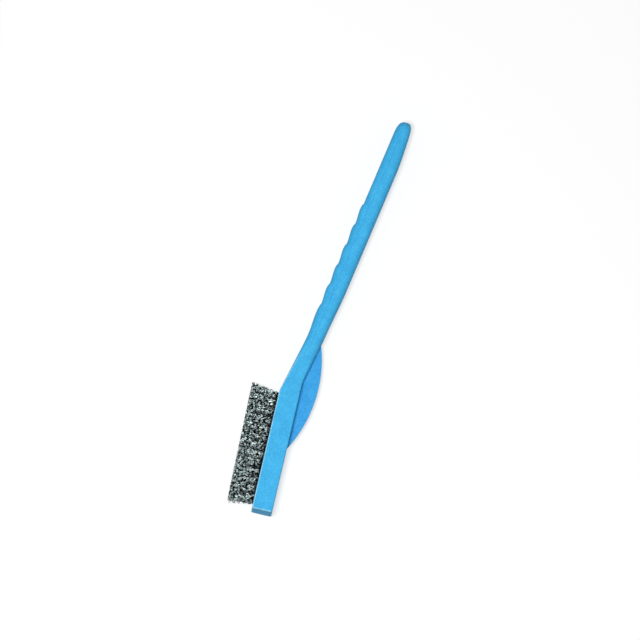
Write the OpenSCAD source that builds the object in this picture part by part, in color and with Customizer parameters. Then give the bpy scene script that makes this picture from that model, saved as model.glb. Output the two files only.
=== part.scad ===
// Long-handled wire brush with a half-moon scraper blade on the back of its head.
//
// The brush lies on one side. +X runs from the toe to the tip of the handle, +Y is the way the
// bristles point and +Z is up, across the width. The shapes below are drawn with the toe at
// x = 0, the bristle face at y = 0 and the lower side at z = 0. on_origin() then puts the
// middle of the footprint on the origin.

/* [Overall] */
// Length from the toe to the tip of the handle
overall_length = 375; // [350:1:450]

/* [Head] */
// Length of the flat face that holds the bristles
face_length = 108.5; // [106:0.5:120]
// Length of the flat back of the head
back_length = 121; // [117:0.5:130]
// Width of the head across the rows of bristles
head_width = 30; // [28:0.5:38]
// Thickness of the head from the bristle face to its back
head_thickness = 18.5; // [17.5:0.5:24]
// Radius on the long edges and the toe of the head
head_edge = 1.4; // [0.6:0.1:3]

/* [Neck] */
// Where the neck ends and the grip starts, from the toe
grip_from = 163; // [155:1:175]
// How steeply the front of the neck falls away from the bristle face, in degrees
neck_angle = 13.7; // [10:0.1:16]
// Thickness at the end of the neck
neck_thickness = 15; // [12:0.5:18]

/* [Grip] */
// How steeply the front of the grip falls away, in degrees
grip_angle = 9.7; // [7:0.1:12]
// Width of the grip
grip_width = 27; // [22:0.5:30]
// Thickness of the grip between its pads and its back
grip_thickness = 16.6; // [14:0.1:20]
// Radius on the long edges of the grip
grip_edge = 6; // [3:0.5:7]
// Number of finger pads under the grip
pad_count = 5; // [3:1:6]
// Length of one finger pad
pad_pitch = 19.5; // [15:0.5:21]
// Height of a finger pad above the notches beside it
pad_height = 1.2; // [0.4:0.1:1.6]
// Length of the smooth swell before the first notch
swell_length = 32; // [28:0.5:40]

/* [Tip] */
// Length over which the back curves in towards the tip
tip_length = 45; // [35:1:50]
// How far the back curves in at the tip
tip_taper = 3.4; // [2:0.1:6]
// Width just before the rounded nose
tip_width = 24; // [20:0.5:27]
// Length of the rounded nose
nose_length = 10.5; // [9:0.5:13]
// Diameter of the hole to hang the brush by
hang_hole_d = 7; // [4:0.5:8]
// Distance from the tip to the middle of the hanging hole
hang_hole_inset = 17; // [13:0.5:22]

/* [Scraper blade] */
// Distance from the toe to the blade's lower corner
blade_from = 61; // [50:1:70]
// Distance from the toe to the blade's upper corner
blade_to = 158; // [150:1:162]
// How far the curved edge bulges beyond the line between the corners
blade_bulge = 10.2; // [7:0.1:13]
// How far the upper corner stands proud of the neck
blade_lip = 0.6; // [0.2:0.1:1.5]
// Thickness of the blade at its root
blade_thickness = 5; // [3:0.1:6]
// Thickness of the scraping edge
blade_edge = 1.2; // [0.6:0.1:2]
// Width of the slope that thins the blade to its edge
blade_bevel = 15; // [8:0.5:20]
// Depth of the tongue that holds the blade in the handle
tongue_depth = 4.5; // [2:0.1:5]
// How much shorter the tongue is than the blade, at each end
tongue_inset = 10; // [4:0.5:14]
// Gap between the tongue and its slot, on each side
tongue_gap = 0.05; // [0.02:0.01:0.2]

/* [Bristles] */
// Number of rows across the head
rows = 4; // [4:1:4]
// Number of tufts in a row
tufts_per_row = 13; // [8:1:13]
// Distance between tufts along a row
tuft_pitch = 7.9; // [7.2:0.05:7.95]
// Distance between rows
row_pitch = 7; // [6.9:0.1:7.4]
// Distance from the toe to the first tuft
tuft_margin = 9.5; // [8:0.5:10]
// Diameter of the holes that hold the tufts
hole_d = 4.5; // [3.5:0.1:4.8]
// Depth of the holes
hole_depth = 12; // [9:0.5:12.5]
// Gap between a tuft and the wall of its hole
tuft_gap = 0.03; // [0.01:0.01:0.1]
// Height of the bristles over the face, at the toe
trim_toe = 23.4; // [15:0.5:35]
// Height of the bristles over the face, at the neck
trim_neck = 25.6; // [15:0.5:35]
// Diameter of a tuft at its trimmed end
tuft_end_d = 6.8; // [5:0.1:6.8]

/* [Anchors] */
// Length of the flat wire anchor that a tuft is folded over
anchor_length = 5.6; // [5:0.1:6]
// Width of the anchor's strip, along the hole
anchor_height = 2; // [1:0.1:3]
// Thickness of the anchor's strip
anchor_thickness = 0.5; // [0.3:0.1:0.8]
// How much of the folded bundle lies under the anchor
fold_under = 1.3; // [0.8:0.1:2]

/* [Hidden] */
// points on each rounded corner of a cross-section
corner_points = 6;
// how far each corner of the side outline is eased, in millimetres before and after it
face_ease = 1.5;
back_ease = 4;
grip_ease = 9;
// longest step between cross-sections on the neck, on a finger pad and behind the pads
neck_step = 4;
pad_step = pad_pitch / 6;
tail_step = 9;
// spare length on the tools that cut right through
over = 1;

mid_z = head_width / 2;
face_slope = tan(neck_angle);
grip_slope = tan(grip_angle);
pads_from = grip_from + swell_length;
pads_to = pads_from + pad_count * pad_pitch;
grip_full = pads_from + pad_pitch;
tip_from = overall_length - tip_length;
nose_from = overall_length - nose_length;
hang_x = overall_length - hang_hole_inset;
hole_r = hole_d / 2;
tuft_r = hole_r - tuft_gap;

handle_color = [0.16, 0.62, 0.90];
blade_color = [0.14, 0.55, 0.88];
wire_color = [0.45, 0.48, 0.50];
anchor_color = [0.70, 0.71, 0.72];

// ---- side outline: how far the front and the back lie from the bristle face ----

// 0 before a corner and the distance past it after, eased over a stretch on both sides
function ramp(x, corner, ease) =
    x <= corner - ease ? 0 :
    x >= corner + ease ? x - corner : pow(x - corner + ease, 2) / (4 * ease);

// 0 to 1 between two places, level at both
function blend(x, from, to) =
    let (t = max(0, min(1, (x - from) / (to - from)))) t * t * (3 - 2 * t);

// one finger pad over t = 0 to 1: it rises gently, is highest near its end and drops to a notch
function pad(t) = pow(sin(180 * pow(t, 2.2)), 0.7);

// the pads and the longer swell in front of them
function pads(x) =
    x <= grip_from || x >= pads_to ? 0 :
    x < pads_from ? pad_height * pad((x - grip_from) / swell_length) :
    pad_height * pad(((x - pads_from) % pad_pitch) / pad_pitch);

// the front without its pads
function front_base(x) =
    -face_slope * ramp(x, face_length, face_ease)
    + (face_slope - grip_slope) * ramp(x, grip_from, grip_ease);

neck_back_slope =
    (neck_thickness - front_base(grip_from) - head_thickness) / (grip_from - back_length);

function front(x) = front_base(x) + pads(x);
function back(x) =
    -head_thickness - neck_back_slope * ramp(x, back_length, back_ease)
    + (neck_back_slope - grip_slope) * ramp(x, grip_from, grip_ease)
    - (grip_thickness - neck_thickness) * blend(x, grip_from, grip_full)
    + tip_taper * pow(max(0, x - tip_from) / tip_length, 1.4);

// ---- width and edge radius along the handle ----

function half_width(x) =
    (head_width - (head_width - grip_width) * blend(x, face_length, grip_from)
    - (grip_width - tip_width) * blend(x, pads_to, nose_from)) / 2;
function edge_radius(x) =
    head_edge + (grip_edge - head_edge) * blend(x, back_length - 8, grip_from + 10);

// ---- places of the cross-sections ----

function steps(from, to, longest) =
    let (n = ceil((to - from) / longest)) [for (i = [0 : n - 1]) from + (to - from) * i / n];
stations = concat(
    [head_edge],
    steps(face_length - face_ease, pads_from, neck_step),
    steps(pads_from, pads_to, pad_step),
    steps(pads_to, nose_from, tail_step));

// a closed ring of points at x, a rectangle with rounded corners
function ring(x, y_front, y_back, half_w, radius) =
    let (r = min(radius, (y_front - y_back) * 0.49, half_w * 0.98))
    [for (corner = [0 : 3]) for (i = [0 : corner_points - 1])
        let (
            a = 90 * (corner + i / (corner_points - 1)),
            z_side = corner == 0 || corner == 3 ? 1 : -1,
            y_mid = corner < 2 ? y_front - r : y_back + r)
        [x, y_mid + r * sin(a), mid_z + z_side * (half_w - r) + r * cos(a)]];

// the rings that round the toe, at angle a round its edge
function toe_ring(a) =
    let (inset = head_edge * (1 - sin(a)))
    ring(head_edge * (1 - cos(a)), -inset, inset - head_thickness,
        head_width / 2 - inset, head_edge - inset * 0.6);

// the rings that close the nose, at angle a round it
function nose_ring(a) =
    let (
        x = nose_from + nose_length * sin(a),
        y_mid = (front(x) + back(x)) / 2,
        half_t = (front(x) - back(x)) / 2 * pow(cos(a), 0.6),
        half_w = half_width(x) * pow(cos(a), 0.6))
    ring(x, y_mid + half_t, y_mid - half_t, half_w, grip_edge + 4);

rings = concat(
    [for (a = [0, 30, 60]) toe_ring(a)],
    [for (x = stations) ring(x, front(x), back(x), half_width(x), edge_radius(x))],
    [for (a = [0, 15, 30, 44, 56, 67, 76, 83]) nose_ring(a)]);

// ---- the middle of the footprint, which goes to the origin ----

lowest_y = min([for (one = rings) for (p = one) p.y]);
highest_y = max(trim_toe, trim_neck);
module on_origin() {
    translate([-overall_length / 2, -(lowest_y + highest_y) / 2, 0]) children();
}

// ---- the handle and head, one moulding ----

module skin() {
    n = corner_points * 4;
    last = len(rings) - 1;
    tip = [overall_length, (front(overall_length) + back(overall_length)) / 2, mid_z];
    polyhedron(
        points = concat([for (one = rings) each one], [tip]),
        faces = concat(
            [[for (i = [0 : n - 1]) i]],
            [for (k = [0 : last - 1]) for (i = [0 : n - 1])
                let (a = k * n + i, b = k * n + (i + 1) % n) each [[a, a + n, b + n], [a, b + n, b]]],
            [for (i = [0 : n - 1]) [last * n + i, (last + 1) * n, last * n + (i + 1) % n]]));
}

module handle() {
    color(handle_color) on_origin() difference() {
        skin();
        for (row = [0 : rows - 1]) for (i = [0 : tufts_per_row - 1]) at_tuft(row, i) {
            cylinder(h = hole_depth + over, r = hole_r, $fn = 48);
            anchor();
        }
        translate([0, 0, mid_z]) tongue(tongue_gap);
        hang_hole();
    }
}

module hang_hole() {
    translate([hang_x, over - grip_thickness, mid_z]) rotate([90, 0, 0])
        cylinder(h = overall_length / 4, d = hang_hole_d, $fn = 64);
}

// ---- scraper blade: a wedge-edged segment of a disc, on a tongue ----

blade_a = [blade_from, back(blade_from)];
blade_b = [blade_to, back(blade_to) - blade_lip];
blade_chord = norm(blade_b - blade_a);
blade_r = (pow(blade_chord / 2, 2) + pow(blade_bulge, 2)) / (2 * blade_bulge);
blade_up = [blade_a.y - blade_b.y, blade_b.x - blade_a.x] / blade_chord;
blade_centre = (blade_a + blade_b) / 2 + blade_up * (blade_r - blade_bulge);

// the back outline between two places, on the handle's own cross-sections
function back_line(from, to) = concat(
    [[from, back_at(from)]],
    [for (x = stations) if (x > from && x < to) [x, back(x)]],
    [[to, back_at(to)]]);

// the back between cross-sections, where the skin is flat
function back_at(x) =
    let (
        before = max([for (s = stations) if (s <= x) s]),
        after = min([for (s = stations) if (s > x) s]))
    back(before) + (back(after) - back(before)) * (x - before) / (after - before);

module blade_disc() {
    half = blade_thickness / 2;
    rotate_extrude($fn = 240) polygon([
        [blade_r - blade_bevel * 3, -half],
        [blade_r - blade_bevel, -half],
        [blade_r, -blade_edge / 2],
        [blade_r, blade_edge / 2],
        [blade_r - blade_bevel, half],
        [blade_r - blade_bevel * 3, half]]);
}

// the tongue, centred on z = 0 and grown by gap on every side that meets the slot
module tongue(gap = 0) {
    from = blade_from + tongue_inset - gap;
    to = blade_to - tongue_inset + gap;
    line = back_line(from, to);
    low = [for (p = line) [p.x, p.y - over]];
    high = [for (i = [len(line) - 1 : -1 : 0]) [line[i].x, line[i].y + tongue_depth + gap]];
    translate([0, 0, -blade_thickness / 2 - gap])
        linear_extrude(blade_thickness + 2 * gap) polygon(concat(low, high));
}

module scraper_blade() {
    line = back_line(blade_from, blade_to);
    deep = blade_bulge * 4;
    color(blade_color) on_origin() translate([0, 0, mid_z]) {
        intersection() {
            translate(blade_centre) blade_disc();
            translate([0, 0, -blade_thickness]) linear_extrude(2 * blade_thickness)
                polygon(concat(line, [[blade_to, -deep * 2], [blade_from, -deep * 2]]));
        }
        intersection() {
            tongue();
            translate([0, 0, -blade_thickness]) linear_extrude(2 * blade_thickness)
                polygon(concat(
                    [for (p = line) [p.x, p.y - over]],
                    [[blade_to, over], [blade_from, over]]));
        }
    }
}

// ---- tufts and the anchors that hold them ----

function tuft_x(i) = tuft_margin + tuft_pitch * i;
function row_z(row) = mid_z + row_pitch * (row - (rows - 1) / 2);
function trim(i) = trim_toe + (trim_neck - trim_toe) * i / (tufts_per_row - 1);

// puts its children at the bottom of a tuft's hole, with their z along the hole and out of it
module at_tuft(row, i) {
    translate([tuft_x(i), -hole_depth, row_z(row)]) rotate([-90, 0, 0]) children();
}

module anchor() {
    translate([-anchor_length / 2, -anchor_thickness / 2, fold_under])
        cube([anchor_length, anchor_thickness, anchor_height]);
}

// a bundle of wires folded over its anchor: round in the hole, wider at the trimmed end
module tuft(row, i) {
    color(wire_color) on_origin() at_tuft(row, i) difference() {
        union() {
            intersection() {
                cylinder(h = hole_depth, r = tuft_r, $fn = 48);
                union() {
                    translate([-hole_d, 0, tuft_r]) rotate([0, 90, 0])
                        cylinder(h = 2 * hole_d, r = tuft_r, $fn = 48);
                    translate([-hole_d, -hole_d, tuft_r]) cube([2 * hole_d, 2 * hole_d, hole_depth]);
                }
            }
            translate([0, 0, hole_depth])
                cylinder(h = trim(i), r1 = tuft_r, r2 = tuft_end_d / 2, $fn = 48);
        }
        anchor();
    }
}

module anchors_row(row) {
    color(anchor_color) on_origin()
        for (i = [0 : tufts_per_row - 1]) at_tuft(row, i) anchor();
}

// ---- nodes ----

function two_digits(n) = n < 10 ? str("0", n) : str(n);
function anchors_name(row) = str("anchors_row_", row + 1);
function tuft_name(row, i) = str("tuft_", row + 1, "_", two_digits(i + 1));

handle();
scraper_blade();
for (row = [0 : rows - 1])
    anchors_row(row);
for (row = [0 : rows - 1]) for (i = [0 : tufts_per_row - 1])
    tuft(row, i);
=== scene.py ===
import math

import bmesh
import bpy
import numpy as np
from mathutils import Matrix, Vector


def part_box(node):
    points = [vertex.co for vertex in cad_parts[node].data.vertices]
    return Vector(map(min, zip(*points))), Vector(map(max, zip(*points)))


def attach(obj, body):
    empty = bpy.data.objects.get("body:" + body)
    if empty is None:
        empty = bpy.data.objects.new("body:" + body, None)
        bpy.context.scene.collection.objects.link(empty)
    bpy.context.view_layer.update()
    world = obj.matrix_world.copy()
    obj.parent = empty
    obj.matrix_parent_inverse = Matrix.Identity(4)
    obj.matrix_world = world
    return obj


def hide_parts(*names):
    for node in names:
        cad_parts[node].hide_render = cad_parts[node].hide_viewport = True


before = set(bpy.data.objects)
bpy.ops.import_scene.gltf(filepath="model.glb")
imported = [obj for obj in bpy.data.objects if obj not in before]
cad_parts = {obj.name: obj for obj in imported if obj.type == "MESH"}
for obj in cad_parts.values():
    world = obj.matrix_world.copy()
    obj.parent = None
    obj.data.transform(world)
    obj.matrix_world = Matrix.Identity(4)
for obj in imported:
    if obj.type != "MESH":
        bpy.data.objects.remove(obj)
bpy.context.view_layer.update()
bpy.context.scene.view_settings.view_transform = "Standard"

mm = 0.001

# everything on the brush is drawn from this corner: toe, bristle face, lower side
handleLow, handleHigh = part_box("handle")
corner = Vector((handleLow.x, handleHigh.y, handleLow.z))
brushLength = (handleHigh.x - handleLow.x) / mm
headWidth = (handleHigh.z - handleLow.z) / mm
midZ = headWidth / 2


# small helpers for nodes
def addNode(tree, kind, inputs=None, **settings):
    node = tree.nodes.new(kind)
    for name, value in settings.items():
        setattr(node, name, value)
    for key, value in (inputs or {}).items():
        feed(tree, node.inputs[key], value)
    return node


def feed(tree, socket, value):  # a link when the value is another node's output
    if isinstance(value, bpy.types.NodeSocket):
        tree.links.new(value, socket)
    else:
        socket.default_value = value


def calc(tree, operation, *values):
    node = addNode(tree, "ShaderNodeMath", operation=operation)
    for socket, value in zip(node.inputs, values):
        feed(tree, socket, value)
    return node.outputs[0]


def newTree(name, inputs, outputs, kind="GeometryNodeTree"):
    tree = bpy.data.node_groups.new(name, kind)
    for socketName, socketType, value in inputs:
        socket = tree.interface.new_socket(socketName, in_out="INPUT", socket_type=socketType)
        if value is not None:
            socket.default_value = value
    for socketName, socketType in outputs:
        tree.interface.new_socket(socketName, in_out="OUTPUT", socket_type=socketType)
    return tree, tree.nodes.new("NodeGroupInput").outputs, tree.nodes.new("NodeGroupOutput").inputs


def objectPlace(tree):
    return addNode(tree, "ShaderNodeTexCoord").outputs["Object"]


def noiseAt(tree, place, scale, detail, roughness=0.5):
    return addNode(tree, "ShaderNodeTexNoise", {
        "Vector": place, "Scale": scale, "Detail": detail, "Roughness": roughness}).outputs["Fac"]


def spread(tree, value, fromMin, fromMax, toMin=0.0, toMax=1.0):  # stretches a range of values over another
    return addNode(tree, "ShaderNodeMapRange", {
        "Value": value, "From Min": fromMin, "From Max": fromMax,
        "To Min": toMin, "To Max": toMax}).outputs["Result"]


def mixColours(tree, share, first, second):
    return addNode(tree, "ShaderNodeMix", {0: share, 6: first, 7: second}, data_type="RGBA").outputs[2]


def scaleColour(tree, colour, amount):
    return addNode(tree, "ShaderNodeVectorMath", {0: colour, "Scale": amount}, operation="SCALE").outputs[0]


# surface effects that several materials use
def makeGrain():  # height of fine moulded grain over slow waviness
    tree, given, result = newTree(
        "mouldedGrain",
        [("Grain Size", "NodeSocketFloat", 0.0004), ("Waviness", "NodeSocketFloat", 0.3)],
        [("Height", "NodeSocketFloat")], "ShaderNodeTree")
    place = objectPlace(tree)
    fine = noiseAt(tree, place, calc(tree, "DIVIDE", 1.0, given["Grain Size"]), 3.0, 0.6)
    slow = noiseAt(tree, place, calc(tree, "DIVIDE", 0.03, given["Grain Size"]), 1.0)
    feed(tree, result["Height"], calc(tree, "MULTIPLY_ADD", slow, given["Waviness"], fine))
    return tree


def makeDrift():  # a colour that drifts between two shades, in soft patches and fine speckle
    tree, given, result = newTree(
        "shadeDrift",
        [("Light", "NodeSocketColor", (0.8, 0.8, 0.8, 1)), ("Dark", "NodeSocketColor", (0.5, 0.5, 0.5, 1)),
         ("Patch Size", "NodeSocketFloat", 0.012), ("Speckle", "NodeSocketFloat", 0.5),
         ("Contrast", "NodeSocketFloat", 0.2), ("Stretch", "NodeSocketVector", (1, 1, 1))],
        [("Color", "NodeSocketColor")], "ShaderNodeTree")
    place = addNode(tree, "ShaderNodeVectorMath", {
        0: objectPlace(tree), 1: given["Stretch"]}, operation="MULTIPLY").outputs[0]
    scale = calc(tree, "DIVIDE", 1.0, given["Patch Size"])
    patch = noiseAt(tree, place, scale, 2.0)
    speckle = noiseAt(tree, place, calc(tree, "MULTIPLY", scale, 9.0), 2.0, 0.7)
    drift = calc(tree, "MULTIPLY_ADD", calc(tree, "SUBTRACT", speckle, 0.5), given["Speckle"], patch)
    share = spread(tree, drift, calc(tree, "SUBTRACT", 0.5, given["Contrast"]),
                   calc(tree, "ADD", 0.5, given["Contrast"]))
    feed(tree, result["Color"], mixColours(tree, share, given["Dark"], given["Light"]))
    return tree


def makeScuffs():  # a mask of short thin scratches that run along the brush
    tree, given, result = newTree(
        "handlingScuffs",
        [("Amount", "NodeSocketFloat", 0.1), ("Length", "NodeSocketFloat", 0.012)],
        [("Mask", "NodeSocketFloat")], "ShaderNodeTree")
    streaks = addNode(tree, "ShaderNodeMapping", {
        "Vector": objectPlace(tree), "Rotation": (0.0, 0.35, 0.2), "Scale": (0.06, 1.0, 1.0)}).outputs["Vector"]
    scratches = noiseAt(tree, streaks, calc(tree, "DIVIDE", 14.0, given["Length"]), 1.0)
    limit = calc(tree, "SUBTRACT", 0.86, given["Amount"])
    feed(tree, result["Mask"], spread(tree, scratches, limit, calc(tree, "ADD", limit, 0.06)))
    return tree


def makeEdgeHighlight():  # painted highlight: a mask of the rounded edges of the square head, except along its back, painted paler than its faces
    tree, given, result = newTree(
        "paintedEdgeHighlight",
        [("Fade From", "NodeSocketFloat", 0.0), ("Fade To", "NodeSocketFloat", 0.05)],
        [("Mask", "NodeSocketFloat")], "ShaderNodeTree")
    coordinates = addNode(tree, "ShaderNodeTexCoord").outputs
    normal, place = coordinates["Normal"], coordinates["Object"]
    unsigned = addNode(tree, "ShaderNodeVectorMath", {0: normal}, operation="ABSOLUTE").outputs[0]
    facing = addNode(tree, "ShaderNodeSeparateXYZ", {"Vector": unsigned}).outputs
    most = calc(tree, "MAXIMUM", facing["X"], calc(tree, "MAXIMUM", facing["Y"], facing["Z"]))
    turned = spread(tree, most, 0.99, 0.88)
    # the painted highlight falls only on edges facing the light, none along the back
    wireSide = spread(tree, addNode(tree, "ShaderNodeSeparateXYZ", {"Vector": normal}).outputs["Y"], -0.3, -0.1)
    along = addNode(tree, "ShaderNodeSeparateXYZ", {"Vector": place}).outputs["X"]
    onHead = spread(tree, along, given["Fade From"], given["Fade To"], 1.0, 0.0)
    patchy = spread(tree, noiseAt(tree, place, 160.0, 2.0), 0.3, 0.55, 0.45)
    scuffAndHighlightPale = calc(tree, "MULTIPLY", calc(tree, "MULTIPLY", turned, wireSide), onHead)
    feed(tree, result["Mask"], calc(tree, "MULTIPLY", patchy, scuffAndHighlightPale))
    return tree


grainGroup, driftGroup, scuffGroup, edgeHighlightGroup = makeGrain(), makeDrift(), makeScuffs(), makeEdgeHighlight()


def startMaterial(name, **fixed):
    material = bpy.data.materials.new(name)
    material.use_nodes = True
    tree = material.node_tree
    shader = tree.nodes["Principled BSDF"]
    for key, value in fixed.items():
        shader.inputs[key.replace("_", " ")].default_value = value
    return material, tree, shader


def addGroup(tree, group, **inputs):  # each of the groups puts out one value
    node = addNode(tree, "ShaderNodeGroup", node_tree=group)
    for key, value in inputs.items():
        feed(tree, node.inputs[key.replace("_", " ")], value)
    return node.outputs[0]


def addBump(tree, shader, height, strength, distance):
    bump = addNode(tree, "ShaderNodeBump", {"Height": height, "Strength": strength, "Distance": distance})
    tree.links.new(bump.outputs["Normal"], shader.inputs["Normal"])


# the edge strength and the span along the head set a painted highlight on rounded edges; the pale colour serves both
# real scuffs and that painted highlight
plasticLook = {
    "handle": {"light": (0.066, 0.500, 0.880, 1), "dark": (0.050, 0.435, 0.815, 1), "edgeHighlight": 0.75},
    "blade": {"light": (0.062, 0.435, 0.860, 1), "dark": (0.046, 0.375, 0.800, 1), "edgeHighlight": 0.15},
    "ior": 1.2, "specular": 0.4, "roughness": 0.56, "patchSize": 0.010, "speckle": 1.2,
    "grainSize": 0.00045, "grainDepth": 0.00003, "waviness": 0.5,
    "scuffs": 0.02, "scuffLength": 0.010, "scuffPaleness": 0.25, "scuffRoughness": 0.15,
    "scuffAndHighlightPale": (0.52, 0.86, 0.96, 1), "highlightFrom": 0.110, "highlightTo": 0.150,
    "fleckScale": 650.0, "fleckDark": 0.86, "fleckLight": 1.10,
}


def plasticMaterial(part):
    look = {**plasticLook, **plasticLook[part]}
    material, tree, shader = startMaterial(
        f"{part}Plastic", IOR=look["ior"], Specular_IOR_Level=look["specular"])
    drift = addGroup(tree, driftGroup, Light=look["light"], Dark=look["dark"],
                     Patch_Size=look["patchSize"], Speckle=look["speckle"])
    scuffs = addGroup(tree, scuffGroup, Amount=look["scuffs"], Length=look["scuffLength"])
    # painted highlight on rounded edges, joined with real scuffs into one pale colour
    edgeHighlight = addGroup(tree, edgeHighlightGroup, Fade_From=corner.x + look["highlightFrom"], Fade_To=corner.x + look["highlightTo"])
    scuffAndHighlightShare = calc(tree, "MAXIMUM", calc(tree, "MULTIPLY", scuffs, look["scuffPaleness"]),
                    calc(tree, "MULTIPLY", edgeHighlight, look["edgeHighlight"]))
    flecks = noiseAt(tree, objectPlace(tree), look["fleckScale"], 2.0, 0.7)
    fleckShade = spread(tree, flecks, 0.3, 0.7, look["fleckDark"], look["fleckLight"])
    colour = scaleColour(tree, mixColours(tree, scuffAndHighlightShare, drift, look["scuffAndHighlightPale"]), fleckShade)
    tree.links.new(colour, shader.inputs["Base Color"])
    rough = calc(tree, "MULTIPLY_ADD", scuffs, look["scuffRoughness"], look["roughness"])
    tree.links.new(rough, shader.inputs["Roughness"])
    grain = addGroup(tree, grainGroup, Grain_Size=look["grainSize"], Waviness=look["waviness"])
    addBump(tree, shader, grain, 0.5, look["grainDepth"])
    return material


steelLook = {
    # painted light and shade: the bristles' near-black shade is painted shadow between the wires, and its sharp
    # speckle with the bright steel paints glinting crests and shaded gaps
    "bristle": {"light": (0.70, 0.84, 0.84, 1), "dark": (0.003, 0.005, 0.006, 1), "roughness": 0.28},
    "anchor": {"light": (0.62, 0.63, 0.64, 1), "dark": (0.45, 0.46, 0.47, 1), "roughness": 0.35},
    "patchSize": 0.0021, "speckle": 0.1, "contrast": 0.02, "stretch": (1.0, 0.9, 1.0),
    "rootFrom": 0.0008, "rootTo": 0.0034, "rootShade": 0.04, "tipShade": 0.72,
    "grainSize": 0.0002, "grainDepth": 0.00002,
}


def steelMaterial(part, holesAt=None):
    look = {**steelLook, **steelLook[part]}
    material, tree, shader = startMaterial(f"{part}Steel", Metallic=1.0, Roughness=look["roughness"])
    # for the bristles this speckle is painted glint and shadow; for the anchors it is plain tone
    colour = addGroup(tree, driftGroup, Light=look["light"], Dark=look["dark"], Patch_Size=look["patchSize"],
                      Speckle=look["speckle"], Contrast=look["contrast"], Stretch=look["stretch"])
    if holesAt is not None:  # painted shade: darker where the wires leave their holes, where the head and the other wires shade them
        height = addNode(tree, "ShaderNodeSeparateXYZ", {"Vector": objectPlace(tree)}).outputs["Y"]
        shade = spread(tree, height, holesAt + look["rootFrom"], holesAt + look["rootTo"],
                       look["rootShade"], look["tipShade"])
        colour = scaleColour(tree, colour, shade)
    tree.links.new(colour, shader.inputs["Base Color"])
    grain = addGroup(tree, grainGroup, Grain_Size=look["grainSize"], Waviness=0.0)
    addBump(tree, shader, grain, 0.3, look["grainDepth"])
    return material


handlePlastic, bladePlastic = plasticMaterial("handle"), plasticMaterial("blade")
bristleSteel, anchorSteel = steelMaterial("bristle", handleHigh.y), steelMaterial("anchor")
print("materials ready")


# side outline of the handle, in millimetres and degrees, from the corner
handleShape = {
    "thickness": 18.5, "faceLength": 108.5, "backLength": 121, "edge": 1.4,
    "gripFrom": 163, "neckAngle": 13.7, "neckThickness": 15,
    "gripAngle": 9.7, "gripWidth": 27, "gripThickness": 16.6, "gripEdge": 6,
    "padCount": 5, "padPitch": 19.5, "padHeight": 1.2, "swellLength": 32,
    "tipLength": 45, "tipTaper": 3.4, "tipWidth": 24, "noseLength": 10.5,
    "faceEase": 1.5, "backEase": 4, "gripEase": 9,
    "seamHeight": 0.26, "seamHalfWidth": 0.40, "seamPlace": 0.34,
}
h = handleShape
padsFrom = h["gripFrom"] + h["swellLength"]
padsTo = padsFrom + h["padCount"] * h["padPitch"]
tipFrom = brushLength - h["tipLength"]
noseFrom = brushLength - h["noseLength"]
faceSlope = math.tan(math.radians(h["neckAngle"]))
gripSlope = math.tan(math.radians(h["gripAngle"]))


def ramp(x, bend, ease):  # 0 before a bend and the distance past it after, eased on both sides
    if x <= bend - ease:
        return 0.0
    return x - bend if x >= bend + ease else (x - bend + ease) ** 2 / (4 * ease)


def blend(x, start, end):
    t = min(1.0, max(0.0, (x - start) / (end - start)))
    return t * t * (3 - 2 * t)


def padAt(t):
    return max(0.0, math.sin(math.pi * t ** 2.2)) ** 0.7


def pads(x):
    if x <= h["gripFrom"] or x >= padsTo:
        return 0.0
    if x < padsFrom:
        return h["padHeight"] * padAt((x - h["gripFrom"]) / h["swellLength"])
    return h["padHeight"] * padAt(((x - padsFrom) % h["padPitch"]) / h["padPitch"])


def frontBase(x):
    return -faceSlope * ramp(x, h["faceLength"], h["faceEase"]) + (
        faceSlope - gripSlope) * ramp(x, h["gripFrom"], h["gripEase"])


neckBackRise = h["neckThickness"] - frontBase(h["gripFrom"]) - h["thickness"]
neckBackSlope = neckBackRise / (h["gripFrom"] - h["backLength"])


def front(x):
    return frontBase(x) + pads(x)


def back(x):
    line = -h["thickness"] - neckBackSlope * ramp(x, h["backLength"], h["backEase"])
    line += (neckBackSlope - gripSlope) * ramp(x, h["gripFrom"], h["gripEase"])
    line -= (h["gripThickness"] - h["neckThickness"]) * blend(x, h["gripFrom"], padsFrom + h["padPitch"])
    return line + h["tipTaper"] * (max(0.0, x - tipFrom) / h["tipLength"]) ** 1.4


def halfWidth(x):
    narrower = (headWidth - h["gripWidth"]) * blend(x, h["faceLength"], h["gripFrom"])
    narrower += (h["gripWidth"] - h["tipWidth"]) * blend(x, padsTo, noseFrom)
    return (headWidth - narrower) / 2


def edgeRadius(x):
    return h["edge"] + (h["gripEdge"] - h["edge"]) * blend(x, h["backLength"] - 8, h["gripFrom"] + 10)


def toWorld(points):
    return np.asarray(points, float) * mm + np.array(corner)


def loftMesh(name, rings):  # rings of equal length, closed at both ends
    rings = np.array([toWorld(ring) for ring in rings])
    count, size = rings.shape[:2]
    bm = bmesh.new()
    verts = [bm.verts.new(p) for p in rings.reshape(-1, 3)]
    for k in range(count - 1):
        for i in range(size):
            j = (i + 1) % size
            square = (k * size + i, k * size + j, (k + 1) * size + j, (k + 1) * size + i)
            bm.faces.new([verts[a] for a in square])
    bm.faces.new(verts[:size])
    bm.faces.new(verts[-size:])
    bmesh.ops.remove_doubles(bm, verts=bm.verts, dist=1e-6)
    bmesh.ops.dissolve_degenerate(bm, dist=1e-7, edges=bm.edges)
    bmesh.ops.recalc_face_normals(bm, faces=bm.faces)
    mesh = bpy.data.meshes.new(name)
    bm.to_mesh(mesh)
    bm.free()
    return mesh


def addPiece(name, mesh, material):
    piece = bpy.data.objects.new(name, mesh)
    bpy.context.scene.collection.objects.link(piece)
    piece.data.materials.clear()
    piece.data.materials.append(material)
    return piece


def plainMesh(piece):  # takes in the modifiers and leaves an ordinary mesh
    evaluated = piece.evaluated_get(bpy.context.evaluated_depsgraph_get())
    mesh = bpy.data.meshes.new_from_object(evaluated)
    piece.modifiers.clear()
    piece.data = mesh


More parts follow.
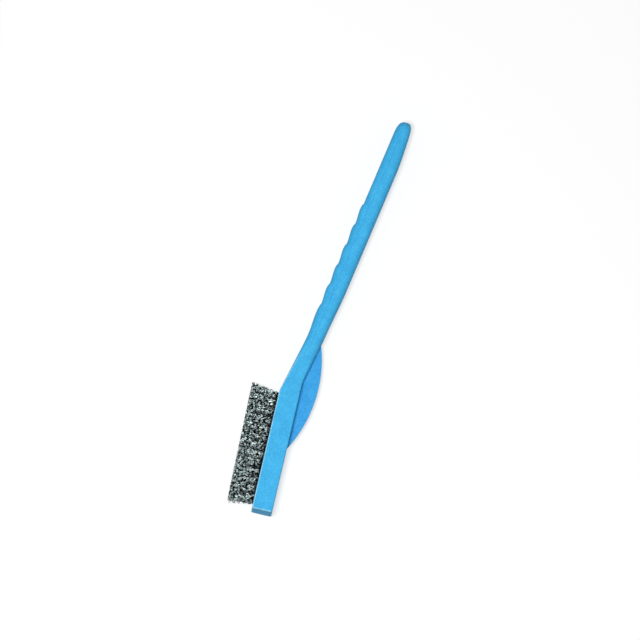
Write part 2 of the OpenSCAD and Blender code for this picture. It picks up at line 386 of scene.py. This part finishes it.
def smooth(mesh, angle=28):
    mesh.shade_smooth()
    mesh.set_sharp_from_angle(angle=math.radians(angle))


roundingPoints = 10
guardWidth = 0.35  # close points beside each rounding keep the flats flat


# a rounded rectangle across the brush
def ring(x, yFront, yBack, halfW, radius, seam=0.0):
    r = min(radius, (yFront - yBack) * 0.49, halfW * 0.98)
    sideY, sideZ = yFront - yBack - 2 * r, 2 * (halfW - r)
    points = []
    for quarter in range(4):
        zSide = 1 if quarter in (0, 3) else -1
        yMid = yFront - r if quarter < 2 else yBack + r
        for i in range(roundingPoints):
            a = math.pi / 2 * (quarter + i / (roundingPoints - 1))
            points.append((x, yMid + r * math.sin(a), midZ + zSide * (halfW - r) + r * math.cos(a)))
        length = sideZ if quarter in (0, 2) else sideY
        guard = min(guardWidth, length * 0.2)
        steps = (guard, length / 3, length * 2 / 3, length - guard)
        if quarter == 0:  # across the front
            points += [(x, yFront, midZ + sideZ / 2 - s) for s in steps]
        if quarter == 2:  # across the back
            points += [(x, yBack, midZ - sideZ / 2 + s) for s in steps]
        if quarter in (1, 3):  # down one side and up the other, over the moulding seam
            low, high = yBack + r, yFront - r
            y = yFront - (yFront - yBack) * h["seamPlace"]
            y = min(high - guard * 1.5, max(low + guard * 1.5, y))
            w = min(h["seamHalfWidth"], guard)
            crown = [(y + w * 0.3, seam), (y - w * 0.3, seam)]
            side = [(high - guard, 0), (y + w, 0), *crown, (y - w, 0), (low + guard, 0)]
            out = -1 if quarter == 1 else 1
            if quarter == 3:
                side = side[::-1]
            points += [(x, yy, midZ + out * (halfW + rise)) for yy, rise in side]
    return points


def seamAt(x):
    return h["seamHeight"] * blend(x, h["backLength"], h["gripFrom"]) * (1 - blend(x, noseFrom - 12, noseFrom))


def handleRings():
    rings = []
    e = h["edge"]
    for degrees in range(0, 90, 10):  # the rounded edge of the toe
        a = math.radians(degrees)
        inset = e * (1 - math.sin(a))
        x = e * (1 - math.cos(a))
        rings.append(ring(x, -inset, inset - h["thickness"], midZ - inset, e - inset * 0.6))
    xs = [e, e + guardWidth]
    xs += list(np.arange(4, h["faceLength"] - 3, 4.0))  # far apart on the straight head
    xs += list(np.arange(h["faceLength"] - 2.5, padsFrom, 1.0))
    xs += list(np.arange(padsFrom, padsTo, h["padPitch"] / 26))
    xs += list(np.arange(padsTo, noseFrom, 1.5))
    rings += [ring(x, front(x), back(x), halfWidth(x), edgeRadius(x), seamAt(x)) for x in xs]
    for degrees in list(range(0, 84, 6)) + [84, 86.5, 88.5, 89.6]:  # the rounded nose
        a = math.radians(degrees)
        x = noseFrom + h["noseLength"] * math.sin(a)
        taper = math.cos(a) ** 0.6
        middle, half = (front(x) + back(x)) / 2, (front(x) - back(x)) / 2 * taper
        rings.append(ring(x, middle + half, middle - half, halfWidth(x) * taper, h["gripEdge"] + 4))
    return rings


def tuftCentre(row, column):
    low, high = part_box(f"tuft_{row}_{column:02d}")
    return (low + high) / 2


tuftRows, tuftColumns = 4, 13
firstTuft, lastTuft = tuftCentre(1, 1), tuftCentre(tuftRows, tuftColumns)
tuftPitch = (lastTuft.x - firstTuft.x) / (tuftColumns - 1)
rowPitch = (lastTuft.z - firstTuft.z) / (tuftRows - 1)
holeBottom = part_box("tuft_1_01")[0].y

drillShape = {"radius": 2.25 * mm, "rim": 0.3 * mm, "hangDiameter": 7, "hangInset": 17, "hangRim": 0.9}


def drillTree():  # a grid of drills with a countersink, standing on the bottoms of their holes
    tree, given, result = newTree("tuftDrills", [
        ("Columns", "NodeSocketInt", 13), ("Rows", "NodeSocketInt", 4),
        ("Column Pitch", "NodeSocketFloat", 0.008), ("Row Pitch", "NodeSocketFloat", 0.007),
        ("First", "NodeSocketVector", (0, 0, 0)), ("Depth", "NodeSocketFloat", 0.012),
        ("Radius", "NodeSocketFloat", 0.002), ("Rim", "NodeSocketFloat", 0.0003),
        ("Material", "NodeSocketMaterial", None)], [("Geometry", "NodeSocketGeometry")])
    index = addNode(tree, "GeometryNodeInputIndex").outputs[0]
    column = calc(tree, "FLOORED_MODULO", index, given["Columns"])
    row = calc(tree, "FLOOR", calc(tree, "DIVIDE", index, given["Columns"]))
    offset = addNode(tree, "ShaderNodeCombineXYZ", {
        "X": calc(tree, "MULTIPLY", column, given["Column Pitch"]),
        "Z": calc(tree, "MULTIPLY", row, given["Row Pitch"])})
    place = addNode(tree, "ShaderNodeVectorMath", {0: given["First"], 1: offset.outputs[0]}, operation="ADD")
    points = addNode(tree, "GeometryNodePoints", {
        "Count": calc(tree, "MULTIPLY", given["Columns"], given["Rows"]), "Position": place.outputs[0]})
    along = addNode(tree, "GeometryNodeMeshCylinder", {
        "Vertices": 40, "Radius": given["Radius"], "Depth": calc(tree, "MULTIPLY", given["Depth"], 1.1)})
    alongUp = addNode(tree, "GeometryNodeTransform", {
        "Geometry": along.outputs["Mesh"],
        "Translation": addNode(tree, "ShaderNodeCombineXYZ", {
            "Z": calc(tree, "MULTIPLY", given["Depth"], 0.55)}).outputs[0]})
    sink = addNode(tree, "GeometryNodeMeshCone", {
        "Vertices": 40, "Radius Top": calc(tree, "MULTIPLY_ADD", given["Rim"], 2.0, given["Radius"]),
        "Radius Bottom": calc(tree, "SUBTRACT", given["Radius"], given["Rim"]),
        "Depth": calc(tree, "MULTIPLY", given["Rim"], 3.0)})
    sinkUp = addNode(tree, "GeometryNodeTransform", {
        "Geometry": sink.outputs["Mesh"],
        "Translation": addNode(tree, "ShaderNodeCombineXYZ", {
            "Z": calc(tree, "MULTIPLY_ADD", given["Rim"], -2.0, given["Depth"])}).outputs[0]})
    joined = addNode(tree, "GeometryNodeMeshBoolean", operation="UNION", solver="EXACT")
    tree.links.new(alongUp.outputs[0], joined.inputs["Mesh 2"])
    tree.links.new(sinkUp.outputs[0], joined.inputs["Mesh 2"])
    drills = addNode(tree, "GeometryNodeInstanceOnPoints", {
        "Points": points.outputs[0], "Instance": joined.outputs["Mesh"], "Rotation": (-math.pi / 2, 0.0, 0.0)})
    real = addNode(tree, "GeometryNodeRealizeInstances", {"Geometry": drills.outputs[0]})
    painted = addNode(tree, "GeometryNodeSetMaterial", {
        "Geometry": real.outputs[0], "Material": given["Material"]})
    feed(tree, result["Geometry"], painted.outputs[0])
    return tree


def growFromTree(name, tree, values, material):  # a piece grown by a node tree, left as a plain mesh
    piece = addPiece(name, bpy.data.meshes.new(name), material)
    modifier = piece.modifiers.new("grow", "NODES")
    modifier.node_group = tree
    for item in tree.interface.items_tree:
        if item.in_out == "INPUT" and item.name in values:
            modifier[item.identifier] = values[item.name]
    plainMesh(piece)
    return piece


def coneBetween(start, end, radiusStart, radiusEnd):  # millimetres
    axis = Vector(end) - Vector(start)
    bm = bmesh.new()
    bmesh.ops.create_cone(bm, cap_ends=True, segments=64, radius1=radiusStart, radius2=radiusEnd,
                          depth=axis.length)
    turn = axis.to_track_quat("Z", "Y").to_matrix().to_4x4()
    placed = Matrix.Translation(Vector(start) + axis / 2) @ turn
    bm.transform(Matrix.Translation(corner) @ Matrix.Scale(mm, 4) @ placed)
    mesh = bpy.data.meshes.new("cone")
    bm.to_mesh(mesh)
    bm.free()
    return mesh


def hangDrills():
    x, rim = brushLength - drillShape["hangInset"], drillShape["hangRim"]
    r = drillShape["hangDiameter"] / 2
    yFront, yBack = front(x), back(x)
    meshes = [coneBetween((x, yBack - 5, midZ), (x, yFront + 5, midZ), r, r)]
    for y, way, slope in ((yFront, 1, -gripSlope), (yBack, -1, -gripSlope * 0.55)):
        normal = Vector((-slope, 1, 0)).normalized() * way
        inner = Vector((x, y, midZ)) - normal * rim
        outer = Vector((x, y, midZ)) + normal * rim
        meshes.append(coneBetween(inner, outer, r - rim * 0.15, r + rim * 2 - rim * 0.15))
    return meshes


bladeShape = {
    "start": 61, "end": 158, "bulge": 10.2, "lip": 0.6, "thickness": 5, "edge": 1.2, "bevel": 15,
    "rounding": 0.35, "seat": 0.9, "seatGap": 0.3,
}
b = bladeShape


def seatDrill():  # a shallow groove round the blade's root, which leaves a fine shadow gap
    half = b["thickness"] / 2 + b["seatGap"]
    rings = []
    for x in np.linspace(b["start"] - b["seatGap"], b["end"] + b["seatGap"], 60):
        top, bottom = back(x) + b["seat"], back(x) - 3
        rings.append([(x, top, midZ + half), (x, top, midZ - half),
                      (x, bottom, midZ - half), (x, bottom, midZ + half)])
    return loftMesh("seat", rings)


def cut(piece, mesh):
    tool = addPiece("tool", mesh, handlePlastic)
    modifier = piece.modifiers.new("cut", "BOOLEAN")
    modifier.operation, modifier.solver, modifier.object = "DIFFERENCE", "EXACT", tool
    plainMesh(piece)
    bpy.data.objects.remove(tool)


def makeHandle():
    piece = addPiece("handleMoulding", loftMesh("handleMoulding", handleRings()), handlePlastic)
    depth = handleHigh.y - holeBottom
    drills = growFromTree("drills", drillTree(), {
        "Columns": tuftColumns, "Rows": tuftRows, "Column Pitch": tuftPitch, "Row Pitch": rowPitch,
        "First": (firstTuft.x, holeBottom, firstTuft.z), "Depth": depth,
        "Radius": drillShape["radius"], "Rim": drillShape["rim"], "Material": handlePlastic}, handlePlastic)
    drillMesh = drills.data
    bpy.data.objects.remove(drills)
    for mesh in [drillMesh, seatDrill()] + hangDrills():
        cut(piece, mesh)
    smooth(piece.data)
    return piece


handle = makeHandle()
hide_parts("handle")
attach(handle, "root")
print("handle:", len(handle.data.polygons), "faces")


# the blade's edge is an arc between two points on the handle's back
startPoint = Vector((b["start"], back(b["start"])))
endPoint = Vector((b["end"], back(b["end"]) - b["lip"]))
chord = (endPoint - startPoint).length
arcRadius = ((chord / 2) ** 2 + b["bulge"] ** 2) / (2 * b["bulge"])
chordUp = Vector((startPoint.y - endPoint.y, endPoint.x - startPoint.x)) / chord
arcCentre = (startPoint + endPoint) / 2 + chordUp * (arcRadius - b["bulge"])


def bladeHalf(radius):  # half the thickness at a distance from the arc's centre
    inside = arcRadius - radius
    slope = min(1.0, max(0.0, inside / b["bevel"]))
    half = b["edge"] / 2 + (b["thickness"] - b["edge"]) / 2 * slope
    r = b["rounding"]
    return half if inside > r else half - r + math.sqrt(max(0.0, r * r - (r - inside) ** 2))


def makeBlade():
    # distances in from the edge, close together where the section turns
    insides = [0, 0.03, 0.1, 0.2, 0.35, 0.6, 1.5, 3, 5, 8, 11, 14, 14.7, 15, 15.3, 17, 19, 21, 23]
    toeEnd = np.linspace(b["start"], b["start"] + 3, 8)[:-1]
    rings = []
    for x in np.concatenate([toeEnd, np.linspace(b["start"] + 3, b["end"], 130)]):
        across = abs(x - arcCentre.x)
        rootY = back(x)
        rootRadius = math.hypot(across, rootY - arcCentre.y)
        heights = []
        for inside in insides:
            radius = max(arcRadius - inside, rootRadius)
            heights.append((arcCentre.y - math.sqrt(radius ** 2 - across ** 2), bladeHalf(radius)))
        rootHalf = bladeHalf(rootRadius)
        foot = rootY + b["seat"] * 0.9
        side = heights + [(foot, rootHalf)]
        near = [(x, y, midZ + half) for y, half in side]
        far = [(x, y, midZ - half) for y, half in side[::-1]]
        rings.append(near + far)
    piece = addPiece("scraperBlade", loftMesh("scraperBlade", rings), bladePlastic)
    smooth(piece.data, 35)
    return piece


blade = makeBlade()
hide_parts("scraper_blade")
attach(blade, "root")
print("blade:", len(blade.data.polygons), "faces")


# rows of tufts of crimped wire
bristleShape = {
    "Wires": 32, "Segments": 26, "Wire Diameter": 0.70 * mm, "Bundle Radius": 2.3 * mm,
    "Crimp Length": 4.4 * mm, "Crimp Depth": 1.25 * mm, "Sway": 0.9 * mm, "Flare": 0.07, "Scatter": 0.07,
    "Toe Lean": -0.02, "Neck Lean": 0.10, "Ragged": 1.8 * mm, "Reach": 4.05 * mm,
}


def bristleTree():
    tree, given, result = newTree("crimpedTufts", [
        ("Columns", "NodeSocketInt", 13), ("Wires", "NodeSocketInt", 50), ("Segments", "NodeSocketInt", 19),
        ("First", "NodeSocketVector", (0, 0, 0)), ("Column Pitch", "NodeSocketFloat", 0.008),
        ("Hole Depth", "NodeSocketFloat", 0.01), ("Toe Height", "NodeSocketFloat", 0.024),
        ("Neck Height", "NodeSocketFloat", 0.026), ("Wire Diameter", "NodeSocketFloat", 0.0005),
        ("Bundle Radius", "NodeSocketFloat", 0.002), ("Crimp Length", "NodeSocketFloat", 0.0045),
        ("Crimp Depth", "NodeSocketFloat", 0.0005), ("Sway", "NodeSocketFloat", 0.0005),
        ("Flare", "NodeSocketFloat", 0.05), ("Scatter", "NodeSocketFloat", 0.05),
        ("Toe Lean", "NodeSocketFloat", 0.0), ("Neck Lean", "NodeSocketFloat", 0.2),
        ("Ragged", "NodeSocketFloat", 0.001), ("Reach", "NodeSocketFloat", 0.004),
        ("Seed", "NodeSocketInt", 1), ("Material", "NodeSocketMaterial", None)], [("Geometry", "NodeSocketGeometry")])

    goldenAngle, fullTurn = 2.39996, 6.2832
    buriedShare, tipRoom = 0.12, 0.6  # of the hole's depth and of a wire's diameter
    nestScale, nestRange, turnScale, turnRange = 420.0, 30.0, 300.0, 14.0

    def m(operation, *values):
        return calc(tree, operation, *values)

    line = addNode(tree, "GeometryNodeCurvePrimitiveLine", {"End": (0.0, 1.0, 0.0)})
    split = addNode(tree, "GeometryNodeResampleCurve", {
        "Curve": line.outputs[0], "Count": m("ADD", given["Segments"], 1)})
    points = addNode(tree, "GeometryNodePoints", {"Count": m("MULTIPLY", given["Columns"], given["Wires"])})
    copies = addNode(tree, "GeometryNodeInstanceOnPoints", {
        "Points": points.outputs[0], "Instance": split.outputs[0]})
    wires = addNode(tree, "GeometryNodeRealizeInstances", {"Geometry": copies.outputs[0]})

    which = addNode(tree, "GeometryNodeCurveOfPoint")
    wire, step = which.outputs["Curve Index"], which.outputs["Index in Curve"]

    def chance(offset, low, high, ident=None):  # one random value for each wire
        node = addNode(tree, "FunctionNodeRandomValue", {
            "ID": ident or wire, "Seed": m("ADD", given["Seed"], offset)}, data_type="FLOAT")
        feed(tree, node.inputs[2], low)
        feed(tree, node.inputs[3], high)
        return node.outputs[1]

    column = m("FLOOR", m("DIVIDE", m("ADD", wire, 0.5), given["Wires"]))
    inTuft = m("SUBTRACT", wire, m("MULTIPLY", column, given["Wires"]))
    share = m("SQRT", m("DIVIDE", m("ADD", inTuft, 0.5), given["Wires"]))
    spiral = m("ADD", m("MULTIPLY", inTuft, goldenAngle), chance(1, 0.0, 6.283, column))
    outX, outZ = m("MULTIPLY", share, m("COSINE", spiral)), m("MULTIPLY", share, m("SINE", spiral))
    startX = m("MULTIPLY_ADD", column, given["Column Pitch"], m("MULTIPLY", outX, given["Bundle Radius"]))
    startZ = m("MULTIPLY", outZ, given["Bundle Radius"])

    # neighbours nest in each other's crimp, so the wave's phase drifts slowly from wire to wire
    seat = addNode(tree, "ShaderNodeCombineXYZ", {
        "X": startX, "Y": m("MULTIPLY", given["Seed"], 0.01), "Z": startZ}).outputs[0]
    phase = m("MULTIPLY_ADD", noiseAt(tree, seat, nestScale, 1.0), nestRange, chance(2, 0.0, 2.4))
    turn = m("MULTIPLY_ADD", noiseAt(tree, seat, turnScale, 0.0), turnRange, chance(3, 0.0, 1.2))

    endShare = m("DIVIDE", column, m("SUBTRACT", given["Columns"], 1))
    growth = m("SUBTRACT", given["Neck Height"], given["Toe Height"])
    height = m("MULTIPLY_ADD", endShare, growth, given["Toe Height"])
    height = m("SUBTRACT", height, m("MULTIPLY", given["Wire Diameter"], tipRoom))
    height = m("SUBTRACT", height, m("MULTIPLY", m("POWER", chance(4, 0.0, 1.0), 2.0), given["Ragged"]))
    buried = m("MULTIPLY", given["Hole Depth"], buriedShare)
    length = m("ADD", height, buried)
    # 0 just inside the hole and 1 at the tip
    t = m("DIVIDE", m("SUBTRACT", step, 1), m("SUBTRACT", given["Segments"], 1))
    inHole = m("LESS_THAN", step, 0.5)
    along = m("MULTIPLY", m("MAXIMUM", t, 0.0), length)
    deeper = m("MULTIPLY", inHole, m("SUBTRACT", given["Hole Depth"], buried))
    y = m("SUBTRACT", m("SUBTRACT", along, buried), deeper)

    leanGrowth = m("SUBTRACT", given["Neck Lean"], given["Toe Lean"])
    lean = m("MULTIPLY_ADD", m("POWER", endShare, 3.0), leanGrowth, given["Toe Lean"])
    leanX = m("ADD", lean, m("ADD", m("MULTIPLY", outX, given["Flare"]),
                              m("MULTIPLY", chance(5, -1.0, 1.0), given["Scatter"])))
    leanZ = m("MULTIPLY_ADD", outZ, m("MULTIPLY", given["Flare"], 0.6),
              m("MULTIPLY", chance(6, -0.6, 0.6), given["Scatter"]))
    bend = m("MULTIPLY", along, m("POWER", m("MAXIMUM", t, 0.0), 0.25))

    free = m("MULTIPLY_ADD", m("MAXIMUM", t, 0.0), 0.5, 0.5)  # the crimp is squeezed near the hole
    loose = m("MULTIPLY", free, m("SUBTRACT", 1.0, inHole))
    crimps = m("DIVIDE", along, given["Crimp Length"])
    wave = m("SINE", m("MULTIPLY_ADD", crimps, fullTurn, phase))
    slow = m("SINE", m("MULTIPLY_ADD", crimps, 2.1, m("MULTIPLY", phase, 1.7)))
    crimp = m("MULTIPLY", m("MULTIPLY", wave, given["Crimp Depth"]), loose)
    sway = m("MULTIPLY", m("MULTIPLY", slow, given["Sway"]), loose)
    x = m("ADD", m("MULTIPLY_ADD", leanX, bend, startX),
          m("SUBTRACT", m("MULTIPLY", crimp, m("COSINE", turn)), m("MULTIPLY", sway, m("SINE", turn))))
    z = m("ADD", m("MULTIPLY_ADD", leanZ, bend, startZ),
          m("MULTIPLY_ADD", sway, m("COSINE", turn),
            m("MULTIPLY", m("MULTIPLY", crimp, m("SINE", turn)), 0.8)))
    # keeps a row inside the head's width
    z = m("MULTIPLY", m("TANH", m("DIVIDE", z, given["Reach"])), given["Reach"])

    shape = addNode(tree, "ShaderNodeCombineXYZ", {"X": x, "Y": y, "Z": z})
    place = addNode(tree, "ShaderNodeVectorMath", {0: given["First"], 1: shape.outputs[0]}, operation="ADD")
    moved = addNode(tree, "GeometryNodeSetPosition", {
        "Geometry": wires.outputs[0], "Position": place.outputs[0]})
    section = addNode(tree, "GeometryNodeCurvePrimitiveCircle", {
        "Resolution": 3, "Radius": m("DIVIDE", given["Wire Diameter"], 2.0)})
    drawn = addNode(tree, "GeometryNodeCurveToMesh", {
        "Curve": moved.outputs[0], "Profile Curve": section.outputs[0], "Fill Caps": True})
    real = addNode(tree, "GeometryNodeRealizeInstances", {"Geometry": drawn.outputs[0]})
    painted = addNode(tree, "GeometryNodeSetMaterial", {
        "Geometry": real.outputs[0], "Material": given["Material"]})
    feed(tree, result["Geometry"], painted.outputs[0])
    return tree


def makeBristles():
    tree = bristleTree()
    for row in range(1, tuftRows + 1):
        centre = tuftCentre(row, 1)
        values = dict(bristleShape)
        values.update({
            "Columns": tuftColumns, "Column Pitch": tuftPitch, "First": (centre.x, handleHigh.y, centre.z),
            "Hole Depth": handleHigh.y - holeBottom,
            "Toe Height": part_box(f"tuft_{row}_01")[1].y - handleHigh.y,
            "Neck Height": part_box(f"tuft_{row}_{tuftColumns:02d}")[1].y - handleHigh.y,
            "Seed": 11 * row, "Material": bristleSteel})
        piece = growFromTree(f"bristleRow{row}", tree, values, bristleSteel)
        piece.data.shade_smooth()
        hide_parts(*[f"tuft_{row}_{column:02d}" for column in range(1, tuftColumns + 1)])
        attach(piece, "root")
        print("bristle row", row, len(piece.data.polygons), "faces")


makeBristles()


# the anchors keep their own shape
for row in range(1, tuftRows + 1):
    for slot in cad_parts[f"anchors_row_{row}"].material_slots:
        slot.material = anchorSteel
print("anchors painted")


stageLook = {
    "floorSize": 6.0, "floorShade": 0.42, "ownWhite": 0.62, "skyStrength": 0.28,
    "lampPlace": (-0.30, 0.17, 1.65), "lampSize": 0.36, "lampPower": 20,
}


# 1 for the camera, mirrors and clear things, 0 for the light that falls on the brush
def seenDirectly(tree):
    rays = addNode(tree, "ShaderNodeLightPath").outputs
    either = calc(tree, "ADD", rays["Is Camera Ray"], rays["Is Glossy Ray"])
    seen = addNode(tree, "ShaderNodeMath", {0: either, 1: rays["Is Transmission Ray"]},
                   operation="ADD", use_clamp=True)
    return seen.outputs[0]


def makeFloor():
    bm = bmesh.new()
    bmesh.ops.create_grid(bm, x_segments=1, y_segments=1, size=stageLook["floorSize"] / 2)
    mesh = bpy.data.meshes.new("floor")
    bm.to_mesh(mesh)
    bm.free()
    material, tree, shader = startMaterial("paleFloor", Roughness=0.9)
    shader.inputs["Base Color"].default_value = (stageLook["floorShade"],) * 3 + (1,)
    shader.inputs["Specular IOR Level"].default_value = 0.0
    shader.inputs["Emission Color"].default_value = (1, 1, 1, 1)
    glow = calc(tree, "MULTIPLY", seenDirectly(tree), stageLook["ownWhite"])
    tree.links.new(glow, shader.inputs["Emission Strength"])
    floor = addPiece("floor", mesh, material)


def makeSky():
    world = bpy.data.worlds.new("studio")
    bpy.context.scene.world = world
    world.use_nodes = True
    tree = world.node_tree
    tree.nodes.clear()
    dim = addNode(tree, "ShaderNodeBackground", {"Color": (1, 1, 1, 1), "Strength": stageLook["skyStrength"]})
    white = addNode(tree, "ShaderNodeBackground", {"Color": (1, 1, 1, 1), "Strength": 1.0})
    mix = addNode(tree, "ShaderNodeMixShader", {0: seenDirectly(tree), 1: dim.outputs[0], 2: white.outputs[0]})
    out = addNode(tree, "ShaderNodeOutputWorld")
    tree.links.new(mix.outputs[0], out.inputs["Surface"])


def addLamp(name, place, target, size, power):
    data = bpy.data.lights.new(name, "AREA")
    data.shape, data.size, data.energy = "DISK", size, power
    lamp = bpy.data.objects.new(name, data)
    bpy.context.scene.collection.objects.link(lamp)
    lamp.location = place
    lamp.rotation_euler = (Vector(target) - Vector(place)).to_track_quat("-Z", "Y").to_euler()


cameraView = {"tilt": 10.6, "roll": 13.16, "frameWidth": 0.5731, "lens": 300, "target": (181.5, -21.0, 15.0)}


def makeCamera():
    tilt, roll = math.radians(cameraView["tilt"]), math.radians(cameraView["roll"])
    alongBrush = Vector((math.cos(tilt), 0, math.sin(tilt)))  # the brush's length as the camera sees it
    across = Vector((0, 1, 0))
    right = alongBrush * math.sin(roll) - across * math.cos(roll)
    up = alongBrush * math.cos(roll) + across * math.sin(roll)
    backward = right.cross(up)
    data = bpy.data.cameras.new("camera")
    data.lens, data.clip_end = cameraView["lens"], 50
    camera = bpy.data.objects.new("camera", data)
    bpy.context.scene.collection.objects.link(camera)
    distance = cameraView["frameWidth"] * data.lens / data.sensor_width
    target = corner + Vector(cameraView["target"]) * mm
    turn = Matrix((right, up, backward)).transposed().to_4x4()
    camera.matrix_world = Matrix.Translation(target + backward * distance) @ turn
    bpy.context.scene.camera = camera


makeFloor()
makeSky()
addLamp("keyLamp", stageLook["lampPlace"], (0, 0, 0), stageLook["lampSize"], stageLook["lampPower"])
makeCamera()
